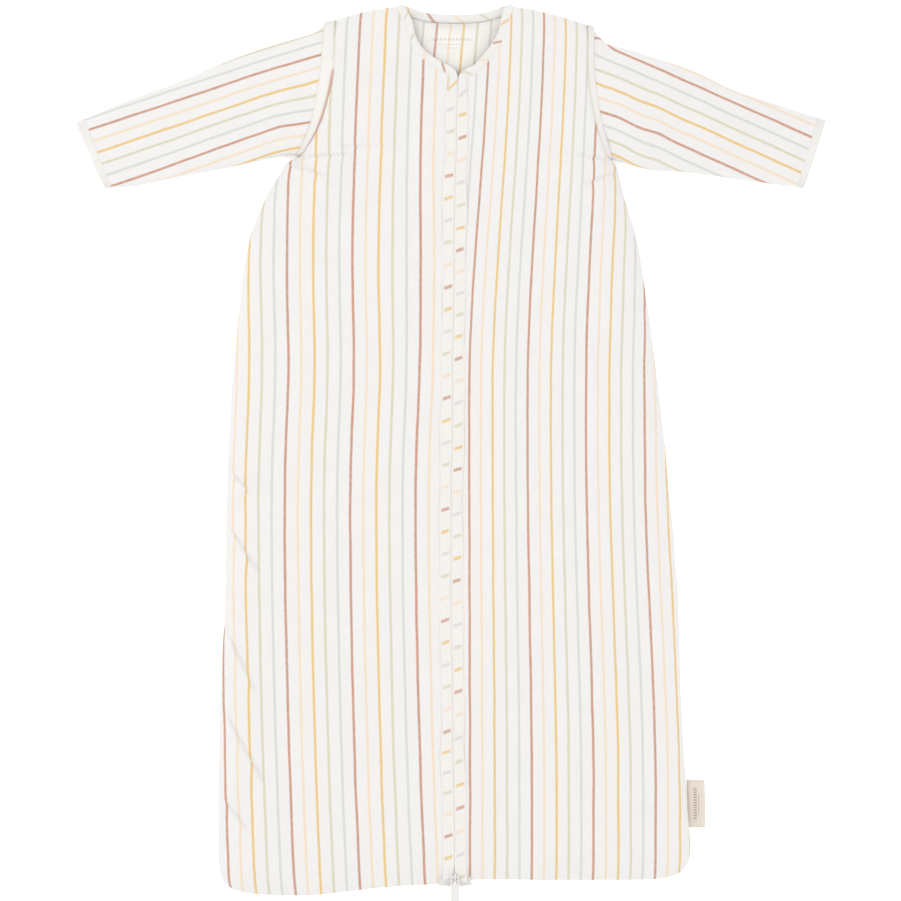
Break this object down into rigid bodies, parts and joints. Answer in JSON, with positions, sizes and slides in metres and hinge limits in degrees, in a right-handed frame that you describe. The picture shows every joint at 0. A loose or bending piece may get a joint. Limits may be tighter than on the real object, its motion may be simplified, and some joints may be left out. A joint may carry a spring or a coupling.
{
  "type": "baby sleeping bag",
  "caption": "Padded baby sleeping bag with long sleeves, laid flat: striped cotton shell, full-length front zip behind two welts, bound neck, armholes and cuffs.",
  "frame": {"origin": "middle of the outline, on the surface the bag lies on", "axes": "+Y towards the head end, +Z out of the front, +X to the right of someone who looks at the front"},
  "size_m": [0.752, 0.905, 0.0292],
  "materials": {
    "shell": "matt cream cotton with thin coloured stripes",
    "binding": "matt cream cotton, stripes running across",
    "lining": "matt cream cotton with thin coloured stripes",
    "wadding": "white polyester wadding",
    "thread": "off-white overlocked thread",
    "zip_tape": "pale woven polyester tape",
    "nylon": "pale nylon",
    "slider_lacquer": "pale lacquer on die-cast metal",
    "label": "beige woven label"
  },
  "bodies": {
    "bag": {"back_outer": "shell", "back_wadding": "wadding", "back_lining": "lining", "foot_seam": "thread", "neck_binding": "binding", "zip_pin": "nylon", "zip_retainer_box": "nylon", "front_outer_left": "shell", "front_wadding_left": "wadding", "front_lining_left": "lining", "side_seam_left": "thread", "shoulder_seam_left": "thread", "armhole_binding_left": "binding", "welt_left": "shell", "zip_tape_left": "zip_tape", "zip_coil_left": "nylon", "zip_end_stop_left": "nylon", "front_outer_right": "shell", "front_wadding_right": "wadding", "front_lining_right": "lining", "side_seam_right": "thread", "shoulder_seam_right": "thread", "armhole_binding_right": "binding", "welt_right": "shell", "zip_tape_right": "zip_tape", "zip_coil_right": "nylon", "zip_end_stop_right": "nylon"},
    "sleeve_left": {"sleeve_outer_left": "shell", "sleeve_wadding_left": "wadding", "sleeve_lining_left": "lining", "cuff_binding_left": "binding"},
    "sleeve_right": {"sleeve_outer_right": "shell", "sleeve_wadding_right": "wadding", "sleeve_lining_right": "lining", "cuff_binding_right": "binding"},
    "slider": {"zip_slider": "slider_lacquer"},
    "pull": {"pull_tab": "slider_lacquer"},
    "label": {"side_label": "label"}
  },
  "joints": [
    {"name": "zip_slider_travel", "type": "slide", "parent": "bag", "child": "slider", "axis": [0, 1, 0], "range_m": [0, 0.757]},
    {"name": "pull_tab_flip", "type": "hinge", "parent": "slider", "child": "pull", "pos_m": [0, -0.4205, 0.0269], "axis": [-1, 0, 0], "range_deg": [0, 175]},
    {"name": "sleeve_left_fold", "type": "hinge", "parent": "bag", "child": "sleeve_left", "pos_m": [-0.1435, 0.367, 0.025], "axis": [0.1691, 0.9856, 0], "range_deg": [0, 180]},
    {"name": "sleeve_right_fold", "type": "hinge", "parent": "bag", "child": "sleeve_right", "pos_m": [0.1435, 0.367, 0.025], "axis": [0.1691, -0.9856, 0], "range_deg": [0, 150]},
    {"name": "side_label_flip", "type": "hinge", "parent": "bag", "child": "label", "pos_m": [0.237, -0.3485, 0.0071], "axis": [0, -1, 0], "range_deg": [0, 85]}
  ]
}
